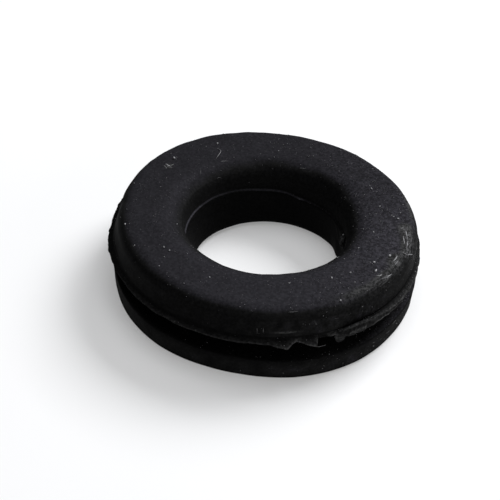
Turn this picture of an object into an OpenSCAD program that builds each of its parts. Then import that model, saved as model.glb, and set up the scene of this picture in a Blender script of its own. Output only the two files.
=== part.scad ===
// Rubber grommet: one moulded ring with two flanges, a groove between them for the edge of a panel,
// and a bore for a cable. The upper flange carries the moulding flash, which is torn at one place.
// Millimetres. +Z runs up the bore, the lower flange rests on Z = 0, and the lower half of the
// mould is centred on the Z axis.

/* [Flanges] */
// Diameter of the upper flange at its lower edge, without the flash
upper_flange_d = 24.8; // [23:0.1:27]
// Thickness of the upper flange
upper_flange_t = 2.7; // [2.3:0.1:4]
// Diameter of the lower flange at its upper edge
lower_flange_d = 25; // [23:0.1:27]
// Thickness of the lower flange
lower_flange_t = 1.9; // [1.4:0.1:4]
// Lean of the upper flange's side, which is narrower at the top, in degrees
upper_lean = 9; // [0:1:12]
// Lean of the lower flange's side, which is narrower at the bottom, in degrees
lower_lean = 2; // [0:1:12]
// Radius of the shoulder between the top face and the upper flange's side
shoulder_r = 0.6; // [0.2:0.1:1]
// Radius of the edge between the underside and the lower flange's side
foot_edge_r = 0.2; // [0.1:0.1:0.8]

/* [Groove] */
// Width of the groove, which is the thickest panel that it takes
groove_w = 1.9; // [1:0.1:4]
// Diameter of the groove's floor, which fills the hole in the panel
groove_d = 19; // [17.5:0.1:21]

/* [Bore] */
// Diameter of the straight bore
bore_d = 12.7; // [10:0.1:14]
// Ledge at the parting plane, above which the bore is larger in radius
bore_ledge = 0.28; // [0.27:0.01:0.5]
// Width of the rounded lip, measured out from the bore
lip_w = 2.5; // [2.1:0.1:3]
// Height of the rounded lip, measured down from the top face
lip_h = 1.6; // [1.3:0.1:2]
// Radius of the lip's nose, where it turns down into the bore
lip_nose_r = 0.9; // [0.5:0.1:1.2]
// Radius of the rounding at the lower end of the bore
bore_foot_r = 0.7; // [0.2:0.1:1.3]

/* [Moulding] */
// Sideways shift of the upper half of the mould, towards -X
mould_shift = 0.25; // [0:0.01:0.27]
// Reach of the flash beyond the upper flange's side
flash_w = 0.42; // [0.42:0.01:0.8]
// Thickness of the flash at its edge
flash_t = 0.12; // [0.08:0.01:0.2]
// Radius of the hollow between the side and the flash
flash_root_r = 0.35; // [0.1:0.01:0.4]

/* [Torn flash] */
// Where the torn place begins, counted around from +X
tear_start = -84; // [-180:1:180]
// Angle that the torn place takes
tear_angle = 24; // [16:1:40]
// Reach of the two torn points beyond the flange's side
torn_point_reach = 0.87; // [0.6:0.01:1.2]
// Reach of the notch between the two torn points
torn_notch_reach = 0.15; // [0.1:0.01:0.4]
// Reach of what is left where the flash is gone
torn_stub_reach = 0.06; // [0.02:0.01:0.3]
// Width of the nib that hangs from the torn place
nib_w = 0.8; // [0.5:0.1:1.2]
// How far the nib hangs below the upper flange
nib_drop = 0.75; // [0.4:0.05:0.9]

/* [Hidden] */
$fn = 60;

upper_r = upper_flange_d / 2;
lower_r = lower_flange_d / 2;
groove_r = groove_d / 2;
bore_r = bore_d / 2;
upper_bore_r = bore_r + bore_ledge;
parting_z = lower_flange_t + groove_w;
flash_r = upper_r + flash_w;

// How far the flash's root lies inside the flange that carries it
flash_root = 0.8;

// How far a cutting shape runs past what it cuts
past = 1;

// How deep the hollow over the flash cuts into the flash and into the flange's side
root_bite = 0.02;

// The torn edge, each point as a part of the tear's angle and a reach beyond the flange's side.
// The first and last points lie back within the whole flash, so that the two run into each other.
torn_edge = [
    [-0.10, 0],
    [0.00, flash_w],
    [0.12, torn_point_reach],
    [0.29, torn_notch_reach],
    [0.42, (torn_notch_reach + torn_point_reach) / 2],
    [0.56, torn_point_reach],
    [0.60, torn_stub_reach],
    [0.96, torn_stub_reach],
    [1.00, flash_w],
    [1.10, 0],
];
nib_place = 0.85;

rubber = [0.15, 0.15, 0.16];

// Point at a distance and an angle from the axis
function polar(r, a) = r * [cos(a), sin(a)];

// Place in the tear, from 0 at its start to 1 at its end, as an angle from +X
function tear_at(part) = tear_start + part * tear_angle;

// Centre of the circle of radius r that rounds the corner between a flange's face and its leaning side.
// The flange is rim_r wide at height 0, where its side starts, and its face is at height t.
function corner_centre(rim_r, t, lean, r) = [rim_r - (t - r) * tan(lean) - r / cos(lean), t - r];

// Point outside the circle around c, beyond the middle of its arc from p to q
function past_arc(c, p, q) =
    let (middle = (p + q) / 2 - c)
    c + middle * 2 * pow(norm(p - c), 2) / pow(norm(middle), 2);

// The piece between an arc around c and its chord from p to q
module arc_piece(c, p, q) {
    intersection() {
        translate(c) circle(r = norm(p - c));
        polygon([p, past_arc(c, p, q), q]);
    }
}

// Half section of the lower half: the lower flange and the core that the groove's floor surrounds
module lower_section() {
    bore_end = [bore_r + bore_foot_r, bore_foot_r];
    bore_end_side = bore_end - [bore_foot_r, 0];
    bore_end_foot = bore_end - [0, bore_foot_r];
    corner = corner_centre(lower_r, lower_flange_t, lower_lean, foot_edge_r);
    edge = [corner.x, lower_flange_t - corner.y];
    edge_foot = edge - [0, foot_edge_r];
    edge_side = edge + foot_edge_r * [cos(lower_lean), -sin(lower_lean)];

    polygon([
        [bore_r, parting_z], bore_end_side, bore_end_foot, edge_foot, edge_side,
        [lower_r, lower_flange_t], [groove_r, lower_flange_t], [groove_r, parting_z],
    ]);
    arc_piece(bore_end, bore_end_side, bore_end_foot);
    arc_piece(edge, edge_foot, edge_side);
}

// Half section of the upper half: the upper flange, with a lip that turns down into the bore.
// The lip is a flatter crown arc from the top face and a tighter nose arc down to the bore.
module upper_section() {
    shoulder = corner_centre(upper_r, upper_flange_t, upper_lean, shoulder_r);
    shoulder_side = shoulder + polar(shoulder_r, upper_lean);
    shoulder_top = shoulder + [0, shoulder_r];

    crown_r = (pow(lip_w - lip_nose_r, 2) + pow(lip_h, 2) - pow(lip_nose_r, 2)) / (2 * (lip_h - lip_nose_r));
    crown = [upper_bore_r + lip_w, upper_flange_t - crown_r];
    crown_top = crown + [0, crown_r];
    nose = [upper_bore_r + lip_nose_r, upper_flange_t - lip_h];
    nose_side = nose - [lip_nose_r, 0];
    crown_to_nose = nose + lip_nose_r * (nose - crown) / norm(nose - crown);

    translate([0, parting_z]) {
        polygon([
            [upper_bore_r, 0], [upper_r, 0], shoulder_side, shoulder_top,
            crown_top, crown_to_nose, nose_side,
        ]);
        arc_piece(shoulder, shoulder_side, shoulder_top);
        arc_piece(crown, crown_top, crown_to_nose);
        arc_piece(nose, crown_to_nose, nose_side);
    }
}

// Half section of the flash, out to the longest torn point. A hollow joins it to the flange's side.
module flash_section() {
    longest = upper_r + max(flash_w, torn_point_reach) + past;
    inside = upper_r - flash_root;
    hollow_z = flash_t + flash_root_r - root_bite;
    from_side = (flash_root_r - root_bite) / cos(upper_lean);
    hollow = [upper_r - hollow_z * tan(upper_lean) + from_side, hollow_z];

    translate([0, parting_z]) difference() {
        polygon([
            [inside, 0], [longest, 0], [longest, flash_t],
            [hollow.x, flash_t], hollow, [inside, hollow.y],
        ]);
        translate(hollow) circle(r = flash_root_r);
    }
}

// The flash seen from above: a round edge, and a torn edge in its place along the tear
module flash_outline() {
    far = 2 * flash_r;
    difference() {
        circle(r = flash_r);
        polygon([[0, 0], for (part = [0, 0.5, 1]) polar(far, tear_at(part))]);
    }
    polygon([[0, 0], for (point = torn_edge) polar(upper_r + point[1], tear_at(point[0]))]);
}

module flash() {
    intersection() {
        rotate_extrude() flash_section();
        translate([0, 0, parting_z - past])
            linear_extrude(height = flash_t + flash_root_r + 2 * past) flash_outline();
    }
}

// A drop-shaped nib of rubber, left hanging under the edge of the flange
module nib() {
    r = nib_w / 2;
    place = polar(upper_r, tear_at(nib_place));
    translate([place.x, place.y, parting_z - nib_drop + r]) {
        sphere(r = r);
        cylinder(r = r, h = nib_drop - r + flash_t);
    }
}

module grommet() {
    color(rubber) {
        rotate_extrude() lower_section();
        translate([-mould_shift, 0, 0]) {
            rotate_extrude() upper_section();
            flash();
            nib();
        }
    }
}

grommet();
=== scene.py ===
"""Dressed scene of a moulded rubber grommet: its skin with flash, tear and wear, the dust on it, a plain
pale floor, studio light and the camera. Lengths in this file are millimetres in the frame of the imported
part, and they become metres where a mesh is made. Azimuths are degrees, counted around from +X."""

import math

import bpy
import numpy as np
from mathutils import Matrix, Vector
from mathutils.bvhtree import BVHTree


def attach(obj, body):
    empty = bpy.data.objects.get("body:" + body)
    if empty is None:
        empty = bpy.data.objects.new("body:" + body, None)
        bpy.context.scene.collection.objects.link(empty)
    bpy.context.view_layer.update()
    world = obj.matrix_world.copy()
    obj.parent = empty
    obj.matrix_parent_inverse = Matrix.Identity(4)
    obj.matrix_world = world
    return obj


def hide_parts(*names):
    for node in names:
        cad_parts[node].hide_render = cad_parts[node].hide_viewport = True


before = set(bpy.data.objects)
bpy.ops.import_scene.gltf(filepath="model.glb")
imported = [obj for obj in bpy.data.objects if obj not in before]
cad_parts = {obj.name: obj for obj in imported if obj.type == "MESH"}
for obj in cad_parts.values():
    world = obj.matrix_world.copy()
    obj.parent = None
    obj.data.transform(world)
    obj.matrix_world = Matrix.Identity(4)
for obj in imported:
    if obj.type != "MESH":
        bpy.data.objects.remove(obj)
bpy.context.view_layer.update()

MM = 0.001

# The section, as in the part's source
UPPER_R = 12.4
UPPER_T = 2.7
UPPER_LEAN = 9
SHOULDER_R = 0.6
LOWER_R = 12.5
LOWER_T = 1.9
LOWER_LEAN = 2
FOOT_EDGE_R = 0.2
GROOVE_W = 1.9
GROOVE_R = 9.5
BORE_FOOT_R = 0.7
UPPER_BORE_R = 6.63
LIP_W = 2.5
LIP_H = 1.6
LIP_NOSE_R = 0.9
FLASH_W = 0.42
FLASH_T = 0.12
FLASH_ROOT_R = 0.35
MOULD_SHIFT = 0.25
PARTING_Z = LOWER_T + GROOVE_W
HEIGHT = PARTING_Z + UPPER_T

# The bore as it came out of the mould: it leans, and its ledge is narrow
BORE_TOP_R = 6.49
BORE_END_R = 6.40
BORE_END_SHIFT = 0.24

# How far each half is out of round: waves around the ring, reach, and the azimuth of a crest
UPPER_OUT_OF_ROUND = ((2, 0.035, 142), (3, 0.02, 160))
LOWER_OUT_OF_ROUND = ((1, 0.06, 180), (2, 0.05, 0))

# How far the lower flange's edge stands out beyond that: azimuth and reach
LOWER_EDGE_RUN = (
    (-180, 0), (-160, 0.06), (-147, 0.12), (-128, 0.12), (-117, 0.03), (-109, -0.05), (-96, -0.06),
    (-87, 0.02), (-78, 0.13), (-65, 0.17), (-52, 0.15), (-43, 0.07), (-34, 0), (180, 0),
)

# The shoulder is rounder than the part's source has it. Azimuth and radius
SHOULDER_RUN = (
    (-180, 1.25), (-140, 1.15), (-95, 1.05), (-60, 1.25), (-35, 1.45), (-15, 1.25), (0, 1), (88, 0.75),
    (97, 0.68), (106, 0.6), (150, 0.6), (162, 0.85), (170, 1), (180, 1.25),
)
ROUNDEST = 1.45

# The bore's ledge: azimuth, how much it is wider and lower than the section has it, and how pale, which is
# partly painted highlight on the thin up-facing ledge
LEDGE_RUN = (
    (-180, 0.02, 0, 2.4), (-90, 0, 0, 1), (-20, 0, 0, 0.2), (20, 0, 0, 0.25), (35, 0.02, 0.1, 0.5),
    (50, 0.08, 0.2, 0.6), (60, 0.14, 0.22, 1), (64, 0.18, 0.25, 3), (68, 0.14, 0.2, 1.2),
    (74, 0.14, 0.05, 1.3), (80, 0.17, 0, 1.3), (98, 0.21, 0, 1.5), (115, 0.14, -0.1, 0.9),
    (135, 0.06, -0.12, 1.1), (150, 0.03, -0.03, 2), (160, 0.02, 0, 2.6), (180, 0.02, 0, 2.4),
)

# How far the lip stands back from the bore: azimuth and distance
LIP_RUN = (
    (-180, 0), (-84, 0), (-74, 0.04), (-64, 0.18), (-50, 0.2), (-36, 0.24), (-20, 0.2), (0, 0), (180, 0),
)

# The bore's lower end swells inwards at the right. Around the height "top" the swelling ends
SWELL = {"azimuth": 20.0, "half_angle": 6.5, "top": 1.8, "inward": 0.28}

# How far the upper flange's top edge stands out: azimuth and reach
TOP_EDGE_RUN = (
    (-180, -0.22), (-150, -0.13), (-120, -0.01), (-90, 0.12), (-60, 0.21), (-30, 0.25), (3, 0.27),
    (30, 0.14), (60, 0.01), (84, -0.06), (93, 0.03), (106, 0.04), (136, 0.04), (149, -0.09), (162, -0.18),
    (170, -0.15), (180, -0.22),
)

# Small roundings that a real edge has
RIM_ROUND = 0.12
GROOVE_FILLET = 0.15
LEDGE_ROUND = 0.05

# Between these two distances from the axis a change of the outer edge grows from nothing to full
EDGE_FROM_R, EDGE_FULL_R = 9.6, 11.5

# Unevenness of the surface, and of the flash's rim: depth, size of a lump, seed
UNEVEN = ((0.030, 7.0, 11), (0.014, 2.4, 12), (0.005, 0.8, 13))
RAGGED = ((0.03, 1.1, 5), (0.02, 0.4, 6))

# Dents along the shoulder and the lower flange's rim: how many, their sizes and their depths
NICKS = 70
NICK_SIZES = (0.10, 0.35)
NICK_DEPTHS = (0.01, 0.035)

# Columns of the skin: finer along the front, where the flash is torn
FINE_FROM, FINE_TO, FINE_STEP = -98.0, -32.0, 0.25
COARSE_STEP = 1.0

# The flash around the ring: azimuth, reach beyond the wall, how far its edge hangs, and added thickness
FLASH_RUN = (
    (-180, 0.36, 0, 0), (-172, 0.46, 0.02, 0), (-150, 0.38, 0.02, 0), (-120, 0.38, 0.02, 0),
    (-100, 0.34, 0, 0), (-93, 0.33, 0, 0), (-86, 0.37, 0.02, 0), (-84, 0.48, 0.06, 0),
    (-81.2, 0.66, 0.14, 0), (-80.2, 0.7, 0.2, 0), (-79.5, 0.62, 0.14, 0), (-77.9, 0.3, 0.02, 0),
    (-76.6, 0.1, 0, 0), (-75.4, 0.24, 0.02, 0), (-74, 0.44, 0.05, 0), (-72.5, 0.6, 0.1, 0),
    (-71.2, 0.68, 0.18, 0), (-70.3, 0.72, 0.24, 0), (-69.6, 0.34, 0.1, 0), (-69, 0.03, 0, 0),
    (-66, 0.03, 0, 0), (-64.6, 0.12, 0, 0.02), (-60.8, 0.14, 0, 0.05), (-59.8, 0.34, 0.22, 0.48),
    (-58.5, 0.42, 0.34, 0.7), (-56.5, 0.44, 0.38, 0.78), (-52, 0.44, 0.4, 0.74), (-48, 0.44, 0.3, 0.6),
    (-43, 0.44, 0.26, 0.44), (-38, 0.44, 0.24, 0.32), (-28, 0.38, 0.2, 0.12), (-14, 0.38, 0.08, 0),
    (-6, 0.31, 0.04, 0), (3, 0.43, 0, 0), (60, 0.42, 0, 0), (120, 0.44, 0, 0), (157, 0.5, 0, 0),
    (167, 0.5, 0, 0), (174, 0.35, 0, 0), (180, 0.36, 0, 0),
)

# Where most dust lies, seen from above, and half its width
BUSY_PLACE = (10.2, -2.5)
BUSY_HALF_WIDTH = 3.4

# How dusty the upper flange's side is: azimuth and amount
SIDE_DUST_RUN = (
    (-180, 0.5), (-150, 0.34), (-125, 0.16), (-105, 0.12), (-92, 0.16), (-84, 0.45), (-62, 0.7), (-45, 0.6),
    (-30, 0.45), (-10, 0.5), (90, 0.3), (180, 0.5),
)

# Dust on the lip, with painted light: it starts and is full where the lip faces up by these amounts, set by
# where the lip faces towards or away from the lamps, and has a painted highlight band there:
# azimuth, start, full, highlight band
LIP_DUST_RUN = (
    (-180, 0.52, 0.88, 0.22), (-153, 0.54, 0.98, 0), (-137, 0.62, 0.98, 0), (-90, 0.63, 0.98, 0),
    (0, 0.7, 0.96, 0), (22, 0.74, 0.94, 0.05), (42, 0.77, 0.92, 0.35), (57, 0.75, 0.92, 0.28),
    (71, 0.73, 0.93, 0.25), (86, 0.7, 0.95, 0.15), (98, 0.66, 0.93, 0.3), (111, 0.62, 0.93, 0.15),
    (126, 0.6, 0.88, 0.12), (140, 0.56, 0.87, 0.28), (160, 0.51, 0.88, 0.32), (180, 0.52, 0.88, 0.22),
)

# How pale the flash's edge is around the ring, from wear and on the lower corner partly from painted light:
# azimuth, upper corner, lower corner
EDGE_RUN = (
    (-180, 0, 0), (-150, 0.12, 0.12), (-130, 0.25, 0.25), (-95, 0.3, 0.3), (-84, 0.55, 0.55),
    (-81, 0.9, 0.9), (-77, 1, 1), (-70, 1, 1), (-69.4, 0.9, 0.9), (-68.9, 0.04, 0.04), (-66, 0.04, 0.04),
    (-64.8, 0.7, 0.7), (-60, 0.7, 0.7), (-55, 0.8, 0.9), (-50, 0.6, 1.5), (-44, 0.9, 1.6), (-38, 1.4, 1.6),
    (-33, 1.2, 1.2), (-20, 0.7, 0.7), (0, 0.3, 0.3), (90, 0.1, 0.1), (180, 0, 0),
)

# Rubbed places on the shoulder, and one painted highlight: azimuth, radius, half their angle, half their
# width, strength. The broad weak place at -50 is a painted highlight along the lit shoulder
RUBBED_AND_HIGHLIGHTED = (
    (-7, 11.2, 2.5, 0.35, 0.6), (-13, 11.6, 3.5, 0.3, 0.9), (-19, 11.8, 2.5, 0.25, 0.8),
    (-27.5, 11.4, 2.2, 0.3, 0.9), (-37.5, 11.7, 3.5, 0.22, 0.7), (10, 11.9, 7, 0.18, 0.4),
    (-50, 11.6, 8, 0.25, 0.3), (148.7, 9.97, 1.2, 0.18, 0.6),
)

# Crumbs that lie on the ring, larger than the dust: place from above, and size across
CRUMBS = (
    (-8.47, 6.35, 0.31), (-4.98, 9.15, 0.17), (-11.22, -3.01, 0.16), (-7.28, -2.02, 0.14),
    (-7.84, -5.72, 0.18), (-7.36, -6.11, 0.16), (-7.9, -7.92, 0.14), (-4.05, -8.8, 0.2),
    (4.98, -7.97, 0.24), (1.84, -8.89, 0.14), (9.45, -4.87, 0.26), (8.22, -5.76, 0.2), (8.3, -6.78, 0.27),
    (7.1, -4.07, 0.18), (8.4, 3.91, 0.16), (8.98, 1.46, 0.24), (10.39, -0.06, 0.2), (10.04, 0.18, 0.15),
    (8.32, -2.08, 0.16), (6.37, -7.16, 0.18), (5.99, -5.38, 0.16), (9.9, 0.4, 0.1), (5.6, -8.4, 0.12),
    (10.9, 1.9, 0.12), (6.3, 0.8, 0.2), (5.61, -10.15, 0.15), (-8.74, 5.16, 0.17),
)

# Crumbs on the sides: azimuth, height, size across
SIDE_CRUMBS = (
    (-67.6, 5.75, 0.1), (-66.5, 5.59, 0.08), (-52.2, 5.52, 0.13), (-70, 5.17, 0.14), (-72.4, 5.22, 0.08),
    (-73.8, 5.22, 0.07), (-57, 5.3, 0.08), (-39.9, 5.63, 0.12), (-35.5, 4.9, 0.11), (-80.2, 0.66, 0.16),
    (-45.2, 0.9, 0.16), (-51, 0.85, 0.15), (-58.5, 0.6, 0.13), (-39, 0.7, 0.15), (-66, 0.95, 0.12),
    (-31, 1.1, 0.15), (-95, 0.55, 0.12), (-25, 0.8, 0.14),
)

# A short hair of lint on the top face: width, then its run from above
LINT = ((0.048, ((-4.95, 8.37), (-4.72, 8.14), (-4.58, 7.85), (-4.6, 7.62), (-4.78, 7.15), (-4.96, 6.82))),)

# Scratches on the top, in the same form
SCRATCHES = (
    (0.1, ((8.31, -7.24), (8.59, -7.23), (8.75, -7.03))),
    (0.06, ((8.61, -7.5), (9.17, -7.09), (9.56, -6.59))),
    (0.055, ((8.93, -7.15), (9.38, -6.8))),
    (0.11, ((9.67, -5.43), (9.92, -5.02), (10.04, -4.72))),
    (0.08, ((9.8, -5.73), (10.09, -5.19))),
    (0.07, ((10.48, -1.32), (10.74, -1.16))),
    (0.075, ((10.91, -1.57), (10.96, -2.73))),
    (0.065, ((10.96, -2.8), (10.84, -3.82))),
    (0.07, ((10.64, -2.25), (10.7, -3.21))),
    (0.05, ((10.43, -4.24), (10.91, -4.21), (11.6, -3.4))),
    (0.04, ((-4.5, 6.71), (-4.2, 6.84), (-3.88, 6.93))),
    (0.09, ((-9.1, 5.5), (-8.92, 5.34), (-8.8, 5.16), (-8.58, 5.12))),
)

# Fainter scratches there
FAINT_SCRATCHES = (
    (0.045, ((-4.69, 5.23), (-4.52, 5.4), (-4.31, 5.45))),
    (0.05, ((2.35, 6.95), (2.8, 6.86))),
    (0.035, ((-6.1, 5.39), (-6.06, 4.87))),
    (0.12, ((-8.4, 5.52), (-8.58, 5.3), (-8.66, 5.16))),
    (0.14, ((-8.95, 5.12), (-8.7, 4.98), (-8.46, 5))),
    (0.1, ((-9.22, 5.2), (-9.02, 4.98), (-8.96, 4.78))),
    (0.045, ((1.86, -11.65), (2.22, -11.6), (2.57, -11.53))),
)

# Scratches on the sides: width, then azimuths and heights
SIDE_SCRATCHES = (
    (0.06, ((-38.4, 1.22), (-37, 1.1), (-35.8, 1.14))),
    (0.05, ((-41.9, 1.1), (-40.5, 0.98))),
    (0.05, ((-46, 1.3), (-44.6, 1.22))),
    (0.05, ((-34.6, 1.62), (-33.2, 1.7), (-32.2, 1.66))),
    (0.04, ((-29, 1.2), (-28.6, 0.8))),
    (0.04, ((-63.4, 5.32), (-61.6, 5.22))),
    (0.04, ((-70.6, 5.46), (-70.2, 5.1))),
    (0.045, ((-90.2, 5.02), (-90, 4.56))),
    (0.045, ((-88.1, 5.1), (-88, 4.6))),
    (0.035, ((-90.4, 4.54), (-89.2, 4.52))),
)

# A whisker of rubber on the second torn point: width, then its run
WHISKER = ((0.055, ((4.02, -12.34, 3.6), (4.32, -12.3, 3.6), (4.62, -12.2, 3.63), (4.84, -12.1, 3.66))),)

# Faint upright ridges on the right side of the bore: azimuth at the parting plane, change for each
# millimetre up, lowest and highest point, height of the ridge
BORE_RIDGES = ((23.2, 2.6, 2.4, 5.4, 0.07), (17.6, 2.6, 3.0, 5.6, 0.05))

# The rounded nib that hangs from the torn place, and a scrap of flash on the ledge at the bore's right.
# Radii are outwards, sideways and upwards
NIB = {"azimuth": -60.6, "out": 0.06, "below_parting": 0.24, "radii": (0.24, 0.43, 0.63)}
SCRAP = {"azimuth": 1.0, "place": (6.22, 0.15), "below_parting": 0.15, "radii": (0.32, 0.42, 0.46)}

# A low crease on the side above the first torn point
CREASE = {"azimuth": -80.4, "half_angle": 2.4, "above_parting": 0.86, "height": 0.075, "half_width": 0.05}

# Grains of dust: how many, their usual size across, how much sizes vary, and the smallest and largest
DUST_GRAINS = 2700
GRAIN_SIZE, GRAIN_SPREAD = 0.042, 0.48
GRAIN_LIMITS = (0.02, 0.13)

# How far a grain or crumb stands off the surface, as a share of its size
GRAIN_PROUD = 0.25

# How high a scratch's burr, the lint and the whisker are, and how far the lint rises between its ends
BURR_HEIGHT, LINT_HEIGHT, WHISKER_HEIGHT = 0.03, 0.048, 0.0385
LINT_RISE = 0.10

# Greys of the bare rubber, and of the dust, flecks, scuffs and pale edges on it. The dust, scuff and edge
# greys also paint light and shade where the marks carry it
DARKEST_RUBBER, LIGHTEST_RUBBER = 0.0022, 0.0052
FILM_GREY, FLECK_GREY, SCUFF_GREY, PALE_EDGE_GREY = 0.19, 0.26, 0.20, 0.10

# The floor is a lit table, so the shadow on it stays light
FLOOR_GLOW = 0.26
FLOOR_HALF_SIDE = 900.0
FLOOR_DROP = 0.01

# Area lights of the studio: name, place, width and height, power, colour
LIGHTS = (
    ("key_light", (200, 210, 270), (220, 180), 1.75, (0.97, 0.98, 1.0)),
    ("top_light", (0, 40, 420), (320, 320), 0.75, (0.97, 0.98, 1.0)),
    ("side_fill", (260, -150, 120), (220, 120), 0.18, (1.0, 0.99, 0.98)),
)
LIGHTS_AIM = (0, 0, 3)
WORLD_STRENGTH = 0.08

CAMERA_AIM = (-1.362, -1.026, 3.0)
CAMERA_ELEVATION = 40.457
CAMERA_DISTANCE = 82.718
CAMERA_ROLL = 3.232
FOCAL_PX = 973.0
PICTURE_PX = 500
SENSOR_MM = 36.0
CAMERA_SEES_FROM, CAMERA_SEES_TO = 1, 10000


# ---- materials

class Wire:
    """A socket of a material's node tree that can be used in sums. Each operator adds one Math node."""

    def __init__(self, tree, socket=None):
        self.tree = tree
        self.socket = socket

    def node(self, kind, settings=None, sockets=None, out=0):
        """Adds a node: its settings first, then a value or a wire for each socket. Gives one output."""
        node = self.tree.nodes.new(kind)
        for name, value in (settings or {}).items():
            setattr(node, name, value)
        for name, value in (sockets or {}).items():
            if isinstance(value, Wire):
                self.tree.links.new(value.socket, node.inputs[name])
            else:
                node.inputs[name].default_value = value
        return Wire(self.tree, node.outputs[out] if node.outputs else None)

    def sum(self, operation, first, second=0.0):
        return self.node("ShaderNodeMath", {"operation": operation}, {0: first, 1: second})

    def __add__(self, other):
        return self.sum("ADD", self, other)

    def __radd__(self, other):
        return self.sum("ADD", other, self)

    def __sub__(self, other):
        return self.sum("SUBTRACT", self, other)

    def __rsub__(self, other):
        return self.sum("SUBTRACT", other, self)

    def __mul__(self, other):
        return self.sum("MULTIPLY", self, other)

    def __rmul__(self, other):
        return self.sum("MULTIPLY", other, self)

    def ramp(self, low, high):
        """0 at low, 1 at high, and smooth between them."""
        return self.node("ShaderNodeMapRange", {"interpolation_type": "SMOOTHSTEP"},
                         {"Value": self, "From Min": low, "From Max": high})

    def clamp(self):
        return self.node("ShaderNodeClamp", {}, {"Value": self})


def grey(value, tint=0.0):
    """A grey, a little violet where tint is above 0."""
    return (value * (1 - 0.04 * tint), value * (1 - 0.32 * tint), value * (1 + tint), 1.0)


def new_finish(name):
    """An empty material, and a wire that adds its first nodes."""
    material = bpy.data.materials.new(name)
    material.use_nodes = True
    material.node_tree.nodes.clear()
    return material, Wire(material.node_tree)


def finish_with(base, **sockets):
    """Puts the Principled shader and the output at the end of the tree."""
    shader = base.node("ShaderNodeBsdfPrincipled", {}, sockets)
    base.node("ShaderNodeOutputMaterial", {}, {"Surface": shader})


def millimetres(base):
    """The place on the piece, in millimetres."""
    place = base.node("ShaderNodeTexCoord", out="Object")
    return base.node("ShaderNodeVectorMath", {"operation": "SCALE"}, {0: place, "Scale": 1 / MM})


def noise(base, place, scale, detail=2.0, roughness=0.5):
    """Random patches from 0 to 1. Scale is how many fit in a millimetre."""
    return base.node("ShaderNodeTexNoise", {}, {
        "Vector": place, "Scale": scale, "Detail": detail, "Roughness": roughness,
    })


def mix_colour(base, factor, first, second):
    """From the first colour at 0 to the second at 1. The node's sockets 6, 7 and output 2 are colours."""
    return base.node("ShaderNodeMix", {"data_type": "RGBA"}, {0: factor, 6: first, 7: second}, out=2)


def stretched(base, place, by):
    return base.node("ShaderNodeVectorMath", {"operation": "MULTIPLY"}, {0: place, 1: by})


def along_ring(base, place):
    """The place as a run along the ring, a distance from the axis and a height, all in millimetres."""
    parts = [base.node("ShaderNodeSeparateXYZ", {}, {"Vector": place}, out=axis) for axis in "XYZ"]
    turn = base.sum("ARCTAN2", parts[1], parts[0]) * UPPER_R
    distance = base.sum("SQRT", parts[0] * parts[0] + parts[1] * parts[1])
    return base.node("ShaderNodeCombineXYZ", {}, {"X": turn, "Y": distance, "Z": parts[2]})


def fleck(base, place, scale, share):
    """Small dots in a part of the cells of a random grid: none in the given share of them."""
    settings = {"Vector": place, "Scale": scale, "Randomness": 1.0}
    distance = base.node("ShaderNodeTexVoronoi", {}, settings, out="Distance")
    cell = base.node("ShaderNodeTexVoronoi", {}, settings, out="Color")
    chosen = base.node("ShaderNodeSeparateColor", {}, {"Color": cell})
    return (1 - distance.ramp(0.10, 0.24)) * chosen.ramp(share, 1.0)


def marks(base, name):
    """An amount that set_marks stored on the piece's points."""
    return base.node("ShaderNodeAttribute", {"attribute_name": name}, out="Fac")


def rubber_finish():
    """Matt black rubber with a fine moulded grain, a film of dust, pale specks and rubbed places. The dust,
    rubbing and edge marks also carry painted light and shade in places.
    """
    material, base = new_finish("moulded_rubber")
    place = millimetres(base)
    # The dust, rubbing and edge marks carry painted light and shade as well as dust and wear.
    dust, rub_and_highlight, edge = marks(base, "dust"), marks(base, "rub_and_highlight"), marks(base, "edge")

    broad = noise(base, place, 0.30, detail=2.0)
    mottle = noise(base, place, 1.6, detail=3.0, roughness=0.6)
    fine = noise(base, place, 5.0, detail=3.0, roughness=0.65)
    grain = noise(base, place, 14.0, detail=2.0, roughness=0.6)
    streaks = stretched(base, along_ring(base, place), (0.8, 7.0, 7.0))
    run = noise(base, streaks, 1.0, detail=3.0, roughness=0.65)

    right = base.node("ShaderNodeSeparateXYZ", {}, {"Vector": place}, out="X").ramp(1.0, 11.0)
    clumps = fine.ramp(0.36, 0.66) * (0.5 + 0.9 * mottle) - 0.46
    film = dust * (1.05 + (0.50 + 0.75 * right) * clumps) * (0.85 + 0.3 * broad)
    scuff = rub_and_highlight * run.ramp(0.44, 0.56) * fine.ramp(0.34, 0.56)
    pale_edge = edge * (0.35 + 1.0 * fine.ramp(0.35, 0.65))
    speck = fleck(base, place, 4.0, 0.70) * dust

    deep = mix_colour(base, fine.ramp(0.3, 0.7), grey(DARKEST_RUBBER, 0.02), grey(LIGHTEST_RUBBER, 0.02))
    violet = dust.ramp(0.3, 0.9) * (1 - rub_and_highlight.ramp(0.0, 0.3))
    film_colour = mix_colour(base, violet, grey(FILM_GREY), grey(FILM_GREY, 0.14))
    dusty = mix_colour(base, (film * 0.074).clamp(), deep, film_colour)
    specked = mix_colour(base, (speck * 0.16).clamp(), dusty, grey(FLECK_GREY, 0.02))
    scuffed = mix_colour(base, (scuff * 0.42).clamp(), specked, grey(SCUFF_GREY, 0.02))
    rubbed = mix_colour(base, (pale_edge * 0.45).clamp(), scuffed, grey(PALE_EDGE_GREY))

    height = grain * 0.5 + fine * 0.7 + scuff * 0.6
    normal = base.node("ShaderNodeBump", {}, {"Strength": 0.6, "Distance": 0.02 * MM, "Height": height})
    finish_with(base, **{
        "Base Color": rubbed,
        "Roughness": (0.56 + 0.14 * fine + 0.14 * film).clamp(),
        "Specular IOR Level": 0.012,
        "Normal": normal,
    })
    return material


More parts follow.
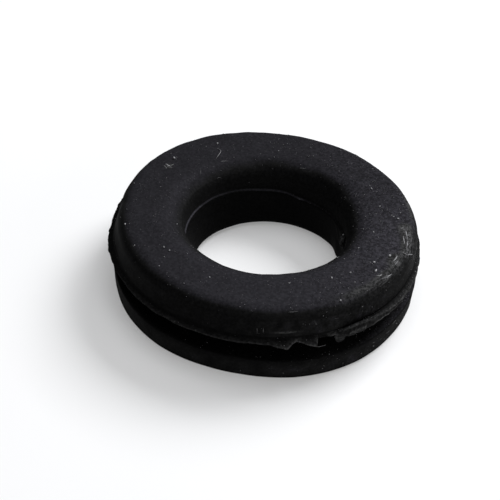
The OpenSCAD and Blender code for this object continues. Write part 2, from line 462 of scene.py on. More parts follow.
def speck_finish(name, dark, light):
    """Pale grains or fibres, some lighter than others."""
    material, base = new_finish(name)
    place = millimetres(base)
    shade = noise(base, place, 1.7, detail=1.0)
    fine = noise(base, place, 18.0, detail=2.0)
    factor = (shade.ramp(0.3, 0.7) * 0.8 + fine * 0.2).clamp()
    colour = mix_colour(base, factor, grey(dark, 0.03), grey(light, 0.02))
    finish_with(base, **{"Base Color": colour, "Roughness": 0.8 + 0.15 * fine, "Specular IOR Level": 0.2})
    return material


def floor_finish():
    """A pale matt table, barely mottled."""
    material, base = new_finish("pale_floor")
    place = millimetres(base)
    shade = noise(base, place, 0.02, detail=2.0)
    colour = mix_colour(base, shade, grey(0.64), grey(0.68))
    finish_with(base, **{
        "Base Color": colour, "Roughness": 0.8, "Specular IOR Level": 0.2, "Emission Color": grey(1.0),
        "Emission Strength": FLOOR_GLOW,
    })
    return material


# ---- the section of the ring

def arc(centre, radius, start, end, steps):
    """Points on an arc of the section. Angles in degrees count from outwards to upwards."""
    turn = np.radians(np.linspace(start, end, steps + 1))
    return np.stack([centre[0] + radius * np.cos(turn), centre[1] + radius * np.sin(turn)], axis=1)


def line(start, end, steps):
    """Points on a straight part of the section."""
    part = np.linspace(0, 1, steps + 1)[:, None]
    return (1 - part) * np.array(start, float) + part * np.array(end, float)


def wall_r(z):
    """Radius of the upper flange's leaning wall at a height."""
    return UPPER_R - (z - PARTING_Z) * math.tan(math.radians(UPPER_LEAN))


def lower_rows():
    """The section's lower half, from the bore's ledge down, around the lower flange and up the groove."""
    lean = math.radians(LOWER_LEAN)
    foot_x = LOWER_R - (LOWER_T - FOOT_EDGE_R) * math.tan(lean) - FOOT_EDGE_R / math.cos(lean)
    foot_edge = arc((foot_x, FOOT_EDGE_R), FOOT_EDGE_R, 270, 360 - LOWER_LEAN, 5)
    rim_edge = arc((LOWER_R - RIM_ROUND, LOWER_T - RIM_ROUND), RIM_ROUND, -LOWER_LEAN, 90, 4)
    return [
        ("bore", line((BORE_TOP_R, PARTING_Z - LEDGE_ROUND), (BORE_END_R, BORE_FOOT_R), 12)),
        ("bore", arc((BORE_END_R + BORE_FOOT_R, BORE_FOOT_R), BORE_FOOT_R, 180, 270, 7)),
        ("foot", line((BORE_END_R + BORE_FOOT_R, 0), foot_edge[0], 4)),
        ("foot", foot_edge),
        ("rim", line(foot_edge[-1], rim_edge[0], 9)),
        ("rim", rim_edge),
        ("deck", line(rim_edge[-1], (GROOVE_R + GROOVE_FILLET, LOWER_T), 7)),
        ("deck", arc((GROOVE_R + GROOVE_FILLET, LOWER_T + GROOVE_FILLET), GROOVE_FILLET, 270, 180, 3)),
        ("groove", line((GROOVE_R, LOWER_T + GROOVE_FILLET), (GROOVE_R, PARTING_Z - GROOVE_FILLET), 4)),
        ("groove", arc((GROOVE_R + GROOVE_FILLET, PARTING_Z - GROOVE_FILLET), GROOVE_FILLET, 180, 90, 3)),
    ]


def upper_rows(shoulder_r):
    """The section's upper half, from the groove out to the flash, over the top and down to the ledge."""
    lean = math.radians(UPPER_LEAN)
    fin_r = UPPER_R + FLASH_W
    half = FLASH_T / 2
    root_z = PARTING_Z + FLASH_T + FLASH_ROOT_R
    root = (wall_r(root_z) + FLASH_ROOT_R / math.cos(lean), root_z)
    root_arc = arc(root, FLASH_ROOT_R, 270, 180 + UPPER_LEAN, 8)

    shoulder_z = HEIGHT - shoulder_r
    shoulder = (wall_r(shoulder_z) - shoulder_r / math.cos(lean), shoulder_z)
    shoulder_arc = arc(shoulder, shoulder_r, UPPER_LEAN, 90, 14)

    rise = LIP_H - LIP_NOSE_R
    crown_r = ((LIP_W - LIP_NOSE_R) ** 2 + LIP_H ** 2 - LIP_NOSE_R ** 2) / (2 * rise)
    crown = (UPPER_BORE_R + LIP_W, HEIGHT - crown_r)
    nose = (UPPER_BORE_R + LIP_NOSE_R, HEIGHT - LIP_H)
    turn = math.degrees(math.atan2(nose[1] - crown[1], nose[0] - crown[0]))
    crown_arc = arc(crown, crown_r, 90, turn, 14)
    return [
        ("under", line((GROOVE_R + GROOVE_FILLET, PARTING_Z), (UPPER_R, PARTING_Z), 7)),
        ("flash", line((UPPER_R, PARTING_Z), (fin_r - half, PARTING_Z), 4)),
        ("flash", arc((fin_r - half, PARTING_Z + half), half, -90, 90, 6)),
        ("flash", line((fin_r - half, PARTING_Z + FLASH_T), root_arc[0], 2)),
        ("flash", root_arc),
        ("wall", line(root_arc[-1], shoulder_arc[0], 20)),
        ("shoulder", shoulder_arc),
        ("top", line(shoulder_arc[-1], crown_arc[0], 10)),
        ("lip", crown_arc),
        ("lip", arc(nose, LIP_NOSE_R, turn, 180, 9)),
        ("upper_bore", line((UPPER_BORE_R, HEIGHT - LIP_H), (UPPER_BORE_R, PARTING_Z + LEDGE_ROUND), 5)),
        ("ledge", line((UPPER_BORE_R - LEDGE_ROUND, PARTING_Z), (BORE_TOP_R + LEDGE_ROUND, PARTING_Z), 2)),
    ]


def joined(pieces):
    """The pieces of the section end to end, without doubled points: radii, heights, zone names."""
    points, zones = [], []
    for zone, piece in pieces:
        for point in piece:
            if not points or not np.allclose(point, points[-1], rtol=0, atol=1e-6):
                points.append(point)
                zones.append(zone)
    return np.array(points), zones


# ---- uneven rubber

def lumps(points, size, seed, waves=28):
    """Smooth unevenness, about -1 to 1, with features about as large as size."""
    dice = np.random.default_rng(seed)
    way = dice.normal(size=(waves, 3))
    way /= np.linalg.norm(way, axis=1, keepdims=True)
    way *= (2 * math.pi / size) * dice.uniform(0.6, 1.4, (waves, 1))
    phase = dice.uniform(0, 2 * math.pi, waves)
    return np.cos(points @ way.T + phase).sum(axis=1) / math.sqrt(waves)


def layers(points, table):
    """Lumps of several sizes on top of each other."""
    return sum(depth * lumps(points, size, seed) for depth, size, seed in table)


def around(azimuth, centre):
    """Degrees from a centre, from -180 to 180."""
    return (azimuth - centre + 180) % 360 - 180


def smooth_step(value, low, high):
    """0 up to low, 1 from high on, and smooth between them."""
    part = np.clip((value - low) / (high - low), 0, 1)
    return part * part * (3 - 2 * part)


def bump_at(distance, width):
    """1 at no distance, fading over about the width to both sides."""
    return np.exp(-0.5 * (distance / width) ** 2)


def columns():
    """The azimuths of the skin's columns, once around."""
    fine = np.arange(FINE_FROM, FINE_TO, FINE_STEP)
    coarse = np.arange(FINE_TO, FINE_FROM + 360, COARSE_STEP)
    return np.concatenate([fine, coarse])


def table_at(azimuth, table, column=1):
    """A value from a table whose rows start with an azimuth."""
    run = np.array(table)
    return np.interp(around(azimuth, 0), run[:, 0], run[:, column])


class Skin:
    """The ring's surface as a grid: a row for each point of the section, a column for each azimuth."""

    def __init__(self):
        lower, lower_zones = joined(lower_rows())
        upper, upper_zones = joined(upper_rows(SHOULDER_R))
        round_upper, _ = joined(upper_rows(ROUNDEST))
        section = np.concatenate([lower, upper])
        self.zones = np.array(lower_zones + upper_zones)
        self.is_upper = np.arange(len(section)) >= len(lower)
        self.azimuth = columns()
        self.rows, self.count = len(section), len(self.azimuth)
        self.r = np.repeat(section[:, :1], self.count, axis=1)
        self.z = np.repeat(section[:, 1:], self.count, axis=1)
        self.shift = np.where(self.is_upper, -MOULD_SHIFT, self.bore_shift(section))[:, None]

        rounder = np.concatenate([lower, round_upper]) - section
        part = (self.at_columns(SHOULDER_RUN) - SHOULDER_R) / (ROUNDEST - SHOULDER_R)
        self.r += rounder[:, :1] * part
        self.z += rounder[:, 1:] * part

    def zone(self, *names):
        """True on the rows of the named zones."""
        return np.isin(self.zones, names)[:, None] * np.ones((1, self.count), bool)

    def at_columns(self, table, column=1):
        """A value for each column, from a table that starts with azimuths."""
        return table_at(self.azimuth, table, column)[None, :]

    def from_azimuth(self, centre):
        """Degrees from a centre, for each column."""
        return around(self.azimuth, centre)[None, :]

    def bore_shift(self, section):
        """Sideways place of the lower half's rows: the bore leans, and the outer rows stand true."""
        up = np.clip((section[:, 1] - BORE_FOOT_R) / (PARTING_Z - BORE_FOOT_R), 0, 1)
        lean = BORE_END_SHIFT - up * (BORE_END_SHIFT + MOULD_SHIFT)
        return lean * np.isin(self.zones, ("bore",))

    def tear_flash(self):
        """Draws the flash out or back to its torn edge, with a ragged rim, and lets it hang."""
        turn = np.radians(self.azimuth)
        ring = np.stack([np.cos(turn), np.sin(turn), np.zeros_like(turn)], axis=1) * UPPER_R
        reach, hang, thicker = (self.at_columns(FLASH_RUN, column) for column in (1, 2, 3))
        reach = np.maximum(reach + layers(ring, RAGGED) * np.clip(reach / 0.2, 0, 1), 0.015)
        flash = self.zone("flash")
        wall = wall_r(self.z)
        out = np.where(flash, self.r - wall, 0)
        above = np.clip((self.z - PARTING_Z) / FLASH_T, 0, 1) * np.clip(out / FLASH_W * 1.6, 0, 1)
        self.r = np.where(flash, wall + out * (reach / FLASH_W), self.r)
        drop = hang * np.clip(out / FLASH_W, 0, 1) ** 1.5
        self.z = np.where(flash, self.z - drop + thicker * above, self.z)

    def out_of_round(self):
        """Draws both flanges out or in by azimuth, as they left the mould."""
        for is_upper, waves in ((True, UPPER_OUT_OF_ROUND), (False, LOWER_OUT_OF_ROUND)):
            outer = (self.is_upper == is_upper)[:, None] & (self.r > GROOVE_R + GROOVE_FILLET)
            for count, reach, crest in waves:
                wave = reach * np.cos(np.radians(count * (self.azimuth - crest)))[None, :]
                self.r += np.where(outer, wave * smooth_step(self.r, EDGE_FROM_R, EDGE_FULL_R), 0)
        edge = self.at_columns(LOWER_EDGE_RUN) * self.zone("deck", "rim", "foot")
        self.r += edge * smooth_step(self.r, EDGE_FROM_R, EDGE_FULL_R)

    def widen_ledge(self):
        """Draws the lower bore's top in where the ledge is wider, and the ledge down where it is lower."""
        wider, lower = self.at_columns(LEDGE_RUN, 1), self.at_columns(LEDGE_RUN, 2)
        up = np.clip((self.z - BORE_FOOT_R) / (PARTING_Z - BORE_FOOT_R), 0, 1) ** 2
        inner = np.clip((UPPER_BORE_R - self.r) / (UPPER_BORE_R - BORE_TOP_R), 0, 1)
        near = bump_at(self.z - PARTING_Z, 0.6) * self.zone("bore", "ledge", "upper_bore", "lip")
        self.r -= wider * np.where(self.zone("ledge"), inner, np.where(self.zone("bore"), up, 0))
        self.z -= lower * near

    def draw_lip_back(self):
        """Moves the lip and the upper bore outwards, less so towards the top face."""
        back = self.at_columns(LIP_RUN) * self.zone("upper_bore", "lip")
        inner = 1 - smooth_step(self.r, UPPER_BORE_R + 0.9, UPPER_BORE_R + LIP_W)
        self.r += back * inner * smooth_step(self.z, PARTING_Z, PARTING_Z + 1.0)

    def swell_bore(self):
        """Lets the bore's lower end stand inwards around one azimuth."""
        inner = self.zone("bore") * (1 - smooth_step(self.r, BORE_END_R + 0.1, BORE_END_R + BORE_FOOT_R))
        low = 1 - smooth_step(self.z, SWELL["top"] - 1, SWELL["top"] + 1)
        beside = bump_at(self.from_azimuth(SWELL["azimuth"]), SWELL["half_angle"])
        self.r -= SWELL["inward"] * beside * inner * low

    def lean_over(self):
        """Moves the upper flange's top edge out or in, and its side with it."""
        reach = self.at_columns(TOP_EDGE_RUN)
        up = np.clip((self.z - PARTING_Z - FLASH_T) / UPPER_T, 0, 1)
        outer = self.zone("wall", "shoulder", "top", "lip")
        self.r += np.where(outer, reach * up * smooth_step(self.r, 9.6, 11.0), 0)

    def places(self):
        """Every point of the grid, seen from the part's own axis."""
        turn = np.radians(self.azimuth)[None, :]
        return np.stack([self.r * np.cos(turn) + self.shift, self.r * np.sin(turn), self.z], axis=2)

    def normals(self, places):
        """The way the surface faces at each point."""
        along = np.roll(places, -1, axis=0) - np.roll(places, 1, axis=0)
        across = np.roll(places, -1, axis=1) - np.roll(places, 1, axis=1)
        normal = np.cross(across, along)
        return normal / np.maximum(np.linalg.norm(normal, axis=2, keepdims=True), 1e-9)


def uneven(skin, places, normals):
    """Low waves, fine lumps and small nicks, as on rubber that has been handled."""
    low = layers(places.reshape(-1, 3), UNEVEN).reshape(skin.rows, skin.count)
    still = np.where(skin.zone("foot"), 0.0, 1.0) * np.where(skin.zone("flash"), 0.5, 1.0)
    still *= smooth_step(places[..., 2], 0.0, 0.4)
    return places + normals * (low * still)[..., None]


def nicked(skin, places, normals):
    """Small dents along the shoulder and the lower flange's rim."""
    dice = np.random.default_rng(31)
    dents = np.zeros((skin.rows, skin.count))
    marked = np.where(skin.zone("shoulder", "rim", "top"))
    for _ in range(NICKS):
        pick = dice.integers(len(marked[0]))
        centre = places[marked[0][pick], marked[1][pick]]
        width, depth = dice.uniform(*NICK_SIZES), dice.uniform(*NICK_DEPTHS)
        dents += depth * bump_at(np.linalg.norm(places - centre, axis=2), width)
    return places - normals * np.where(skin.zone("foot"), 0, dents)[..., None]


def crease_at(skin, places):
    """The low ridge on the wall above the first torn point: 1 on its crest, 0 away from it."""
    height = places[..., 2] - (PARTING_Z + CREASE["above_parting"])
    beside = bump_at(skin.from_azimuth(CREASE["azimuth"]), CREASE["half_angle"])
    return bump_at(height, CREASE["half_width"]) * beside * skin.zone("wall")


def crease_wall(skin, places, normals):
    return places + normals * (CREASE["height"] * crease_at(skin, places))[..., None]


def ridge_bore(skin, places, normals):
    """Raises the upright ridges on the side of the bore."""
    for azimuth, slope, low, high, height in BORE_RIDGES:
        z = places[..., 2]
        sideways = around(skin.azimuth[None, :], azimuth + slope * (z - PARTING_Z))
        ends = smooth_step(z, low - 0.3, low + 0.3) * (1 - smooth_step(z, high - 0.4, high + 0.4))
        ridge = height * bump_at(sideways, 1.0) * ends
        places = places + normals * (ridge * skin.zone("bore", "upper_bore", "lip"))[..., None]
    return places


def grid_faces(rows, count):
    """Quads of a grid that closes on itself both ways."""
    row, column = np.meshgrid(np.arange(rows), np.arange(count), indexing="ij")
    below, right = (row + 1) % rows, (column + 1) % count
    return np.stack([
        row * count + column, row * count + right, below * count + right, below * count + column,
    ], axis=2).reshape(-1, 4)


def placed(name, data):
    """A new object in the scene, at the origin."""
    thing = bpy.data.objects.new(name, data)
    bpy.context.scene.collection.objects.link(thing)
    return thing


def make_mesh(name, points, faces, material, smooth=True):
    """A piece from points in millimetres."""
    mesh = bpy.data.meshes.new(name)
    mesh.from_pydata((np.asarray(points) * MM).tolist(), [], [list(map(int, face)) for face in faces])
    mesh.validate()
    mesh.update()
    mesh.materials.append(material)
    if smooth:
        mesh.shade_smooth()
    return placed(name, mesh)


def set_marks(piece, dust, rub_and_highlight, edge):
    """Stores the dust, rubbing and edge amounts of each point, for the rubber's finish. They carry painted
    light and shade too.
    """
    for name, values in (("dust", dust), ("rub_and_highlight", rub_and_highlight), ("edge", edge)):
        attribute = piece.data.attributes.new(name, "FLOAT", "POINT")
        at_points = np.broadcast_to(np.ravel(values), len(piece.data.vertices))
        attribute.data.foreach_set("value", np.ascontiguousarray(at_points, np.float32))


def dust_and_painted_light_on(skin, places, normals):
    """How pale each point's film is. Dust: most where the surface faces up, and more at the right. Painted
    light and shade: light on the slopes that face the front right, on the lip where it faces the lamps, on
    the ledge and on the deck's right, and shade towards the top of the lower flange's rim.
    """
    up, side, height = normals[..., 2], places[..., 0], places[..., 2]
    toward = side * 0.66 - places[..., 1] * 0.75
    right, front_right = smooth_step(side, 2.0, 12.0), smooth_step(toward, -2.0, 12.0)
    busy = bump_at(np.hypot(side - BUSY_PLACE[0], places[..., 1] - BUSY_PLACE[1]), BUSY_HALF_WIDTH)
    flat = places.reshape(-1, 3)
    patches = np.clip(0.60 + 0.25 * lumps(flat, 1.6, 22).reshape(up.shape), 0, 1.5)
    small_patches = np.clip(0.65 + 0.30 * lumps(flat, 0.8, 23).reshape(up.shape), 0, 1.6)

    # Painted light: on the lip, where the film starts and turns full follows where the lip faces the lamps,
    # and the band at its full point is a painted highlight.
    start, full, painted_highlight_band = (skin.at_columns(LIP_DUST_RUN, column) for column in (1, 2, 3))
    settled = smooth_step(up, start, full) * (1 + painted_highlight_band * bump_at(up - full - 0.01, 0.03))
    settled = np.where(skin.zone("lip"), settled, smooth_step(up, 0.63, 0.98))
    dust = settled * (0.87 + 0.35 * smooth_step(toward, -9.0, 13.0) + 0.49 * busy)
    dust = np.where(skin.zone("bore", "foot"), 0.05 * dust, dust)
    dust = np.where(skin.zone("groove", "under"), 0.38 + 0.05 * dust, dust)
    # On the deck's outer part at the right this paleness is partly dust and partly painted light, where the
    # lamps reach past the upper flange.
    dust = np.where(skin.zone("deck"), 0.12 + 0.55 * right * smooth_step(skin.r, 10.6, 12.1), dust)
    torn = bump_at(skin.from_azimuth(-74.0), 11.0) * (0.4 + 0.6 * small_patches)
    dust = np.where(skin.zone("flash"), (0.04 + 0.08 * right + 0.16 * torn) * dust + 0.06 * torn, dust)
    dust = np.where(skin.zone("rim"), (0.1 + 0.5 * right) * dust, dust)
    # The ledge's paleness is partly painted highlight: the thin ledge faces up and catches the light.
    dust = np.where(skin.zone("ledge"), skin.at_columns(LEDGE_RUN, 3), dust)

    # Painted light: the wall's and shoulder's slopes that face the front right are made paler, as if lit
    # from there.
    painted_slope_light = 0.30 * front_right * smooth_step(up, 0.05, 0.62) * (1 - smooth_step(up, 0.85, 0.99))
    patchy = skin.at_columns(SIDE_DUST_RUN) * small_patches
    dust += np.where(skin.zone("wall"), painted_slope_light + patchy, 0)
    fading = 0.4 * (1 - smooth_step(up, 0.3, 0.9))
    dust += np.where(skin.zone("shoulder"), painted_slope_light + fading * patchy, 0)
    dust += np.where(skin.zone("upper_bore", "lip"), 0.24 * (1 - smooth_step(up, 0.45, 0.85)), 0)
    # Painted shade and light on the lower flange's rim: the film fades towards the rim's top, shaded by the
    # upper flange, and stays paler low down, lit from the floor.
    low = 1 - 0.85 * smooth_step(height, 0.9, 1.8)
    rim = (0.46 + 0.24 * front_right) * (1 - 0.40 * smooth_step(side, 7.0, 12.0)) * low * patches
    return dust + np.where(skin.zone("rim"), rim, 0)


def rub_and_highlight_on(skin, places):
    """How much each point is rubbed, from the named places. One broad place along the front-right shoulder
    is a painted highlight, not rubbing.
    """
    radius = np.hypot(places[..., 0] + MOULD_SHIFT, places[..., 1])
    rub_and_highlight = np.zeros(radius.shape)
    for azimuth, centre_r, half_angle, half_width, strength in RUBBED_AND_HIGHLIGHTED:
        beside = bump_at(skin.from_azimuth(azimuth), half_angle)
        rub_and_highlight += strength * beside * bump_at(radius - centre_r, half_width)
    return np.where(skin.zone("top", "shoulder", "wall"), rub_and_highlight, 0)


def edge_on(skin):
    """How pale the flash's edge is: wear near its torn outline, and at both corners where the edge is
    thick. On the lower corner, which faces down into shade, part of that paleness is painted light.
    """
    out = np.where(skin.zone("flash"), skin.r - wall_r(skin.z), 0)
    reach = out.max(axis=0)
    distance = np.full(out.shape, np.inf)
    neighbours = 12
    for step in range(-neighbours, neighbours + 1):
        gap = np.radians(around(skin.azimuth, np.roll(skin.azimuth, step))) * UPPER_R
        distance = np.minimum(distance, np.hypot(gap[None, :], out - np.roll(reach, step)[None, :]))
    thick = np.clip(skin.at_columns(FLASH_RUN, 3) / 0.2, 0, 1)
    rim = np.where(skin.zone("flash") & (out > reach[None, :] - 0.07), skin.z, np.nan)
    low, high = np.nanmin(rim, axis=0, keepdims=True), np.nanmax(rim, axis=0, keepdims=True)
    part = np.clip((skin.z - low) / np.maximum(high - low, 0.01), 0, 1)
    middle = 1 - np.abs(2 * part - 1)
    near = 1 - smooth_step(distance, 0.04, 0.12 - 0.05 * thick)
    broad = 1 - smooth_step(distance, 0.08, 0.45)
    pale = skin.at_columns(EDGE_RUN, 1) * part + skin.at_columns(EDGE_RUN, 2) * (1 - part)
    pale_edge = np.maximum(near * pale, 0.5 * broad * np.minimum(pale, 0.5)) * skin.zone("flash") * (out > 0.04)
    return pale_edge * (1 - 0.88 * thick * np.clip(1.8 * middle, 0, 1))


def make_skin(material):
    """The ring itself. Gives the piece, and its grid, points and facings for what lies on it."""
    skin = Skin()
    skin.tear_flash()
    skin.out_of_round()
    skin.lean_over()
    skin.widen_ledge()
    skin.draw_lip_back()
    skin.swell_bore()
    places = skin.places()
    for change in (uneven, nicked, crease_wall, ridge_bore):
        places = change(skin, places, skin.normals(places))
    normals = skin.normals(places)
    faces = grid_faces(skin.rows, skin.count)
    piece = make_mesh("grommet_skin", places.reshape(-1, 3), faces, material)
    dust, rub_and_highlight = np.clip(dust_and_painted_light_on(skin, places, normals), 0, 3), np.clip(rub_and_highlight_on(skin, places), 0, 1)
    set_marks(piece, dust, rub_and_highlight, np.clip(edge_on(skin) + 1.2 * crease_at(skin, places), 0, 1.6))
    surface = BVHTree.FromPolygons(places.reshape(-1, 3).tolist(), faces.tolist())
    return piece, skin, places, normals, surface


# ---- small pieces on the ring

def pellet(centre, radii, azimuth, seed, blunt=1.0, lumpy=0.10, around_steps=28, up_steps=16):
    """A lumpy drop of rubber: points and faces. Its first radius points away from the ring's axis."""
    up = np.linspace(-math.pi / 2, math.pi / 2, up_steps + 1)[1:-1]
    turn = np.linspace(0, 2 * math.pi, around_steps, endpoint=False)
    ball = [(0.0, 0.0, -1.0)]
    ball += [(math.cos(u) * math.cos(t), math.cos(u) * math.sin(t), math.sin(u)) for u in up for t in turn]
    ball.append((0.0, 0.0, 1.0))
    ball = np.array(ball)
    swell = 1 + lumpy * lumps(ball, 1.4, seed) + 0.4 * lumpy * lumps(ball, 0.6, seed + 1)
    ball = np.sign(ball) * np.abs(ball) ** blunt * swell[:, None] * np.array(radii)
    a = math.radians(azimuth)
    spun = np.stack([
        ball[:, 0] * math.cos(a) - ball[:, 1] * math.sin(a),
        ball[:, 0] * math.sin(a) + ball[:, 1] * math.cos(a), ball[:, 2],
    ], axis=1)
    rings, last = up_steps - 1, 1 + (up_steps - 1) * around_steps
    faces = []
    for k in range(around_steps):
        after = (k + 1) % around_steps
        faces.append((0, 1 + after, 1 + k))
        for ring in range(rings - 1):
            low, high = 1 + ring * around_steps, 1 + (ring + 1) * around_steps
            faces.append((low + k, low + after, high + after, high + k))
        top = 1 + (rings - 1) * around_steps
        faces.append((top + k, top + after, last))
    return spun + np.array(centre), faces


def make_nib(material):
    """The rounded tongue of rubber that hangs from the torn place, pale at its sides."""
    a = math.radians(NIB["azimuth"])
    r = UPPER_R + NIB["out"]
    centre = (r * math.cos(a) - MOULD_SHIFT, r * math.sin(a), PARTING_Z - NIB["below_parting"])
    points, faces = pellet(centre, NIB["radii"], NIB["azimuth"], seed=41, blunt=0.72, lumpy=0.035)
    piece = make_mesh("flash_nib", points, faces, material)
    sideways = (points - centre) @ np.array((-math.sin(a), math.cos(a), 0)) / NIB["radii"][1]
    set_marks(piece, 0.45, 0.2, smooth_step(np.abs(sideways), 0.7, 0.95))
    return piece


def make_bore_scrap(material):
    """A scrap of flash left on the ledge at the right side of the bore, dustier on top."""
    centre = (*SCRAP["place"], PARTING_Z - SCRAP["below_parting"])
    points, faces = pellet(centre, SCRAP["radii"], SCRAP["azimuth"], seed=51)
    piece = make_mesh("bore_scrap", points, faces, material)
    set_marks(piece, 0.30 + 0.45 * smooth_step(points[:, 2] - PARTING_Z, -0.3, 0.2), 0.3, 0.0)
    return piece


def drop_on(surface, x, y):
    """Where a crumb dropped from above lands: the place, and the way its surface faces."""
    place, facing, _, _ = surface.ray_cast(Vector((x, y, 2 * HEIGHT)), Vector((0, 0, -1)))
    return np.array(place), np.array(facing)


def push_on(surface, azimuth, z):
    """Where a crumb pushed in from outside lands."""
    a = math.radians(azimuth)
    outside = Vector((math.cos(a), math.sin(a), 0)) * 2 * LOWER_R + Vector((-MOULD_SHIFT, 0, z))
    place, facing, _, _ = surface.ray_cast(outside, Vector((-math.cos(a), -math.sin(a), 0)))
    return np.array(place), np.array(facing)


def stay_there(surface, x, y, z):
    """For a place that is given in full, off the skin."""
    return np.array((x, y, z)), np.array((0.0, 0.0, 1.0))


# An uneven ball of twenty faces, for a grain or crumb
GRAIN = np.array([
    (0, 0, 1),
    (0.9, 0, 0.45), (0.28, 0.85, 0.45), (-0.72, 0.53, 0.45), (-0.72, -0.53, 0.45), (0.28, -0.85, 0.45),
    (0.72, 0.53, -0.45), (-0.28, 0.85, -0.45), (-0.9, 0, -0.45), (-0.28, -0.85, -0.45),
    (0.72, -0.53, -0.45), (0, 0, -1),
])
SIDES = [(k, (k + 1) % 5) for k in range(5)]
GRAIN_FACES = np.array(
    [(0, 1 + k, 1 + n) for k, n in SIDES] + [(1 + k, 6 + k, 1 + n) for k, n in SIDES]
    + [(6 + k, 6 + n, 1 + n) for k, n in SIDES] + [(11, 6 + n, 6 + k) for k, n in SIDES]
)


def grain_mesh(name, centres, sizes, material, seed):
    """One piece with an uneven grain at each centre. Sizes are across."""
    dice = np.random.default_rng(seed)
    points, faces = [], []
    for number, (centre, size) in enumerate(zip(centres, sizes)):
        squash = dice.uniform(0.5, 1.0, 3)
        rough = GRAIN * dice.uniform(0.75, 1.25, (len(GRAIN), 1)) * squash
        spin = Matrix.Rotation(dice.uniform(0, 2 * math.pi), 3, Vector(dice.normal(size=3)).normalized())
        points.append(rough @ np.array(spin) * (size / 2) + centre)
        faces.append(GRAIN_FACES + number * len(GRAIN))
    return make_mesh(name, np.concatenate(points), np.concatenate(faces), material, smooth=False)


def scattered(skin, places, normals, count, seed):
    """Random places on the skin: more where dust settles, and more at the right."""
    dice = np.random.default_rng(seed)
    along = np.roll(places, -1, axis=0) - places
    across = np.roll(places, -1, axis=1) - places
    area = np.linalg.norm(np.cross(along, across), axis=2)
    up, right = normals[..., 2], smooth_step(places[..., 0], -4.0, 11.0)
    pull = 0.05 + smooth_step(up, 0.2, 0.9) + 0.5 * right * (up > -0.3)
    pull = pull * (0.65 + 1.0 * right)
    pull = np.where(skin.zone("groove", "under", "bore", "upper_bore"), 0.01, pull)
    pull = np.where(places[..., 2] < 0.2, 0, pull)
    pull = np.where(skin.zone("deck"), 0.3 * pull, pull)
    pull = np.where(skin.zone("lip"), pull * smooth_step(up, 0.6, 0.95), pull)
    chance = (area * pull).reshape(-1)
    picks = dice.choice(len(chance), size=count, p=chance / chance.sum())
    part = dice.uniform(0, 1, (count, 2, 1))
    base = places.reshape(-1, 3)[picks]
    spots = base + part[:, 0] * along.reshape(-1, 3)[picks] + part[:, 1] * across.reshape(-1, 3)[picks]
    return spots, normals.reshape(-1, 3)[picks], dice


def make_dust(skin, places, normals, material):
    """The grains of dust, smaller on the sides than on the top."""
    spots, facing, dice = scattered(skin, places, normals, DUST_GRAINS, seed=61)
    sizes = np.clip(np.exp(dice.normal(math.log(GRAIN_SIZE), GRAIN_SPREAD, len(spots))), *GRAIN_LIMITS)
    sizes *= 0.68 + 0.32 * smooth_step(facing[:, 2], 0.5, 0.9)
    return grain_mesh("dust", spots + facing * sizes[:, None] * GRAIN_PROUD, sizes, material, seed=62)


def make_crumbs(name, surface, crumbs, land, material, seed):
    """Crumbs at named places, each landed on the surface by the way that is given."""
    landed = [land(surface, *crumb[:2]) for crumb in crumbs]
    sizes = [crumb[2] for crumb in crumbs]
    centres = [place + facing * size * GRAIN_PROUD for (place, facing), size in zip(landed, sizes)]
    return grain_mesh(name, centres, sizes, material, seed)


def finer(run, steps=7):
    """More points along a run."""
    run = np.array(run)
    fine = np.linspace(0, len(run) - 1, (len(run) - 1) * steps + 1)
    return np.stack([np.interp(fine, np.arange(len(run)), run[:, k]) for k in range(run.shape[1])], axis=1)


def strand(places, facings, width, height, rise, dice, sides=6):
    """A thin strand along places on a surface, which tapers to both ends."""
    part = np.linspace(0, 1, len(places))
    taper = np.sqrt(np.sin(np.pi * np.clip(part, 0.03, 0.97))) * dice.uniform(0.6, 1.2, len(part))
    places = places + facings * (height * 0.3 + rise * np.sin(np.pi * part))[:, None]
    points, faces = [], []
    for number, (place, facing) in enumerate(zip(places, facings)):
        ahead = places[min(number + 1, len(places) - 1)] - places[max(number - 1, 0)]
        beside = np.cross(ahead, facing)
        beside /= np.linalg.norm(beside)
        for k in range(sides):
            turn = 2 * math.pi * k / sides
            across = width / 2 * math.cos(turn) * beside + height / 2 * math.sin(turn) * facing
            points.append(place + across * taper[number])
        if number:
            last, this = (number - 1) * sides, number * sides
            pairs = [(k, (k + 1) % sides) for k in range(sides)]
            faces += [(last + k, this + k, this + after, last + after) for k, after in pairs]
    faces += [tuple(range(sides)), tuple(range(len(points) - sides, len(points)))[::-1]]
    return np.array(points), faces


def make_strands(name, surface, strands, land, material, seed, height=BURR_HEIGHT, rise=0.0):
    """Strands along named runs, each landed by the way that is given, all in one piece."""
    dice = np.random.default_rng(seed)
    all_points, all_faces, first = [], [], 0
    for width, run in strands:
        landed = [land(surface, *spot) for spot in finer(run)]
        places, facings = (np.array(part) for part in zip(*landed))
        points, faces = strand(places, facings, width, height, rise, dice)
        all_points.append(points)
        all_faces += [tuple(first + corner for corner in face) for face in faces]
        first += len(points)
    return make_mesh(name, np.concatenate(all_points), all_faces, material)


# ---- stage

def make_floor(material):
    side = FLOOR_HALF_SIDE
    corners = [(x * side, y * side, -FLOOR_DROP) for x, y in ((-1, -1), (1, -1), (1, 1), (-1, 1))]
    floor = make_mesh("floor", corners, [(0, 1, 2, 3)], material, smooth=False)


def make_light(name, place, size, power, colour):
    data = bpy.data.lights.new(name, "AREA")
    data.shape = "RECTANGLE"
    data.size, data.size_y = size[0] * MM, size[1] * MM
    data.energy = power
    data.color = colour
    lamp = placed(name, data)
    lamp.location = Vector(place) * MM
    lamp.rotation_euler = (Vector(LIGHTS_AIM) - Vector(place)).to_track_quat("-Z", "Y").to_euler()


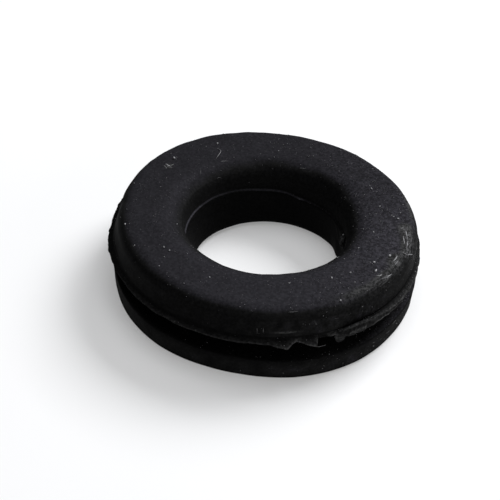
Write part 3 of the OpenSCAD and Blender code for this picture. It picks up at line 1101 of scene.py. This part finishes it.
def make_studio():
    """Three soft lights and a dim white surround."""
    for light in LIGHTS:
        make_light(*light)
    world = bpy.data.worlds.new("studio")
    world.use_nodes = True
    surround = world.node_tree.nodes["Background"]
    surround.inputs["Color"].default_value = (1.0, 1.0, 1.0, 1.0)
    surround.inputs["Strength"].default_value = WORLD_STRENGTH
    bpy.context.scene.world = world


def make_camera():
    """The camera at the photo's viewing angle."""
    tilt = math.radians(CAMERA_ELEVATION)
    place = Vector((0, -math.cos(tilt), math.sin(tilt))) * CAMERA_DISTANCE
    forward = (Vector(CAMERA_AIM) - place).normalized()
    level = forward.cross(Vector((0, 0, 1))).normalized()
    upright = level.cross(forward)
    roll = math.radians(CAMERA_ROLL)
    right = level * math.cos(roll) + upright * math.sin(roll)
    up = upright * math.cos(roll) - level * math.sin(roll)

    data = bpy.data.cameras.new("camera")
    data.sensor_width = SENSOR_MM
    data.lens = FOCAL_PX * SENSOR_MM / PICTURE_PX
    data.clip_start, data.clip_end = CAMERA_SEES_FROM * MM, CAMERA_SEES_TO * MM
    camera = placed("camera", data)
    turned = Matrix((right, up, -forward)).transposed().to_4x4()
    camera.matrix_world = Matrix.Translation(place * MM) @ turned
    bpy.context.scene.camera = camera


def set_colours():
    bpy.context.scene.view_settings.view_transform = "Standard"
    bpy.context.scene.view_settings.look = "None"


def keep(piece):
    """Fixes a piece to the part, as more of its rubber or as what lies on it."""
    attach(piece, "root")


make_camera()
make_studio()
set_colours()
make_floor(floor_finish())

rubber = rubber_finish()
dust = speck_finish("dust_grains", 0.06, 0.26)
pale = speck_finish("pale_crumbs", 0.22, 0.50)
rubbed = speck_finish("rubbed_rubber", 0.12, 0.34)
faint = speck_finish("faintly_rubbed_rubber", 0.05, 0.15)
dull = speck_finish("dull_rubber", 0.04, 0.11)

skin_piece, skin, places, normals, surface = make_skin(rubber)
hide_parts("grommet")
keep(skin_piece)
keep(make_nib(rubber))
keep(make_bore_scrap(rubber))
keep(make_dust(skin, places, normals, dust))
keep(make_crumbs("crumbs", surface, CRUMBS, drop_on, pale, seed=63))
keep(make_crumbs("side_crumbs", surface, SIDE_CRUMBS, push_on, dull, seed=64))
keep(make_strands("lint", surface, LINT, drop_on, rubbed, seed=71, height=LINT_HEIGHT, rise=LINT_RISE))
keep(make_strands("scratches", surface, SCRATCHES, drop_on, rubbed, seed=72))
keep(make_strands("faint_scratches", surface, FAINT_SCRATCHES, drop_on, faint, seed=75))
keep(make_strands("side_scratches", surface, SIDE_SCRATCHES, push_on, dull, seed=74))
keep(make_strands("torn_whisker", surface, WHISKER, stay_there, dull, seed=73, height=WHISKER_HEIGHT))
